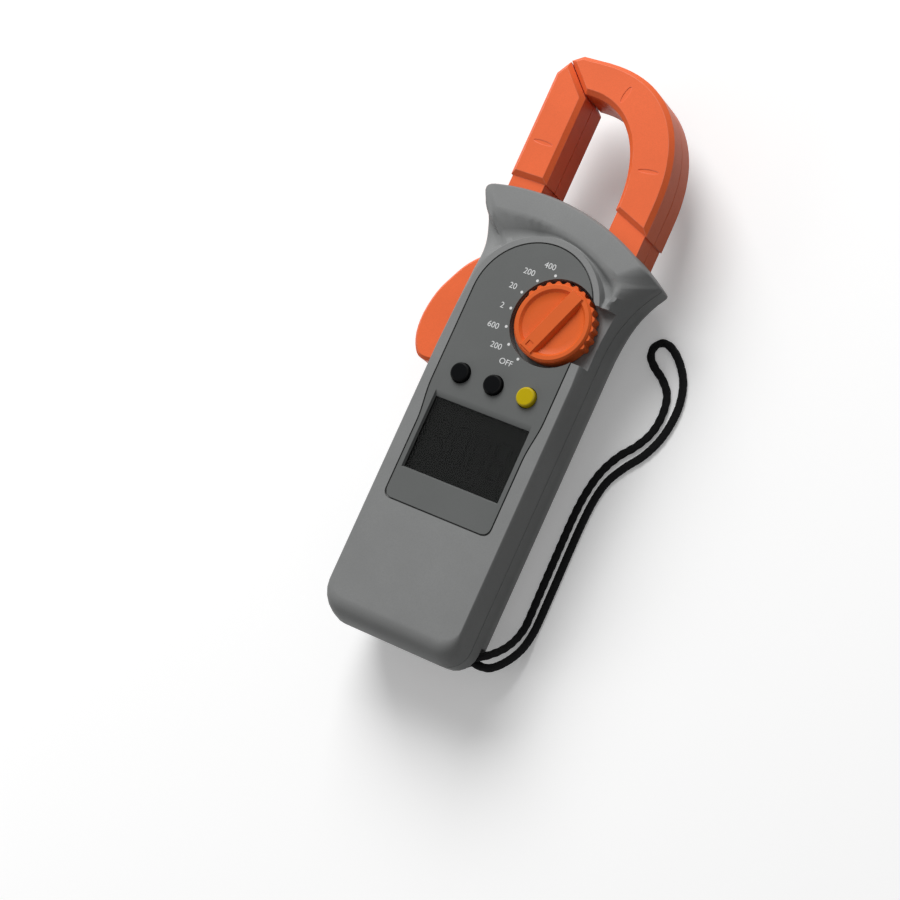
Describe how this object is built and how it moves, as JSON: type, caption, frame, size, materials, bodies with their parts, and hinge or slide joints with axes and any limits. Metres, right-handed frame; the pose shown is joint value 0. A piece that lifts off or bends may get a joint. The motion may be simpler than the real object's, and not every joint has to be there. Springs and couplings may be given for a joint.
{
  "type": "clamp multimeter",
  "caption": "Hand-held digital clamp multimeter with hinged sensing jaws, trigger, rotary dial, push buttons, display, test-lead jacks and wrist strap.",
  "frame": {"origin": "on the rear rest face, on the case centreline, halfway along the overall length", "axes": "+Z leaves the display face, +Y runs toward the jaws, +X is to the right seen from the front"},
  "size_m": [0.102, 0.2285, 0.04],
  "materials": {
    "orange_shell": "satin moulded plastic",
    "grey_shell": "fine-grained moulded plastic",
    "grey_panel": "smooth printed overlay",
    "black_plastic": "satin",
    "yellow_button": "satin",
    "red_plastic": "satin",
    "white_plastic": "plain moulded",
    "display_lens": "clear tinted, glossy",
    "display_glass": "liquid crystal cell, switched off",
    "board": "green solder mask",
    "rubber": "matt silicone",
    "steel": "plated",
    "core_steel": "stacked laminations",
    "brass": "plain",
    "copper": "varnished copper wire",
    "battery_jacket": "plain jacket",
    "strap_cord": "braided"
  },
  "bodies": {
    "meter_body": {"battery": "battery_jacket", "battery_door": "grey_shell", "battery_door_screw": "steel", "battery_snap": "black_plastic", "board_screw_1": "steel", "board_screw_2": "steel", "buzzer": "black_plastic", "case_screw_1": "steel", "case_screw_2": "steel", "case_screw_3": "steel", "case_screw_4": "steel", "case_screw_5": "steel", "dome_hold": "rubber", "dome_max": "rubber", "dome_select": "rubber", "face_panel": "grey_panel", "fixed_core": "core_steel", "fixed_jaw_front": "orange_shell", "fixed_jaw_rear": "orange_shell", "front_case": "grey_shell", "jack_shroud_common": "black_plastic", "jack_shroud_volt": "red_plastic", "jack_sleeve_common": "brass", "jack_sleeve_volt": "brass", "jaw_pivot_pin": "steel", "jaw_spring": "steel", "lcd_glass": "display_glass", "lcd_holder": "white_plastic", "lcd_strip_lower": "rubber", "lcd_strip_upper": "rubber", "lcd_window": "display_lens", "main_board": "board", "meter_chip": "black_plastic", "pickup_coil": "copper", "rear_case": "grey_shell", "strap_pin": "steel", "wrist_strap": "strap_cord"},
    "moving_jaw": {"moving_jaw_front": "orange_shell", "moving_jaw_rear": "orange_shell", "moving_core": "core_steel"},
    "dial": {"dial_knob": "orange_shell", "dial_rotor": "white_plastic", "dial_contact": "brass", "detent_ball": "steel", "detent_spring": "steel"},
    "select_button": {"button_select": "black_plastic"},
    "max_button": {"button_max": "black_plastic"},
    "hold_button": {"button_hold": "yellow_button"}
  },
  "joints": [
    {"name": "jaw_open", "type": "hinge", "parent": "meter_body", "child": "moving_jaw", "pos_m": [-0.021, 0.04, 0.0265], "axis": [0, 0, 1], "range_deg": [0, 24], "stiffness_Nm_per_rad": 0.4, "springref_deg": -11.46},
    {"name": "dial_turn", "type": "hinge", "parent": "meter_body", "child": "dial", "pos_m": [0.0115, 0.0145, 0.036], "axis": [0, 0, 1], "range_deg": [-135, 0]},
    {"name": "select_press", "type": "slide", "parent": "meter_body", "child": "select_button", "axis": [0, 0, -1], "range_m": [0, 0.001], "stiffness_N_per_m": 800, "springref_m": -0.0003, "deforming": ["dome_select"]},
    {"name": "max_press", "type": "slide", "parent": "meter_body", "child": "max_button", "axis": [0, 0, -1], "range_m": [0, 0.001], "stiffness_N_per_m": 800, "springref_m": -0.0003, "deforming": ["dome_max"]},
    {"name": "hold_press", "type": "slide", "parent": "meter_body", "child": "hold_button", "axis": [0, 0, -1], "range_m": [0, 0.001], "stiffness_N_per_m": 800, "springref_m": -0.0003, "deforming": ["dome_hold"]}
  ]
}
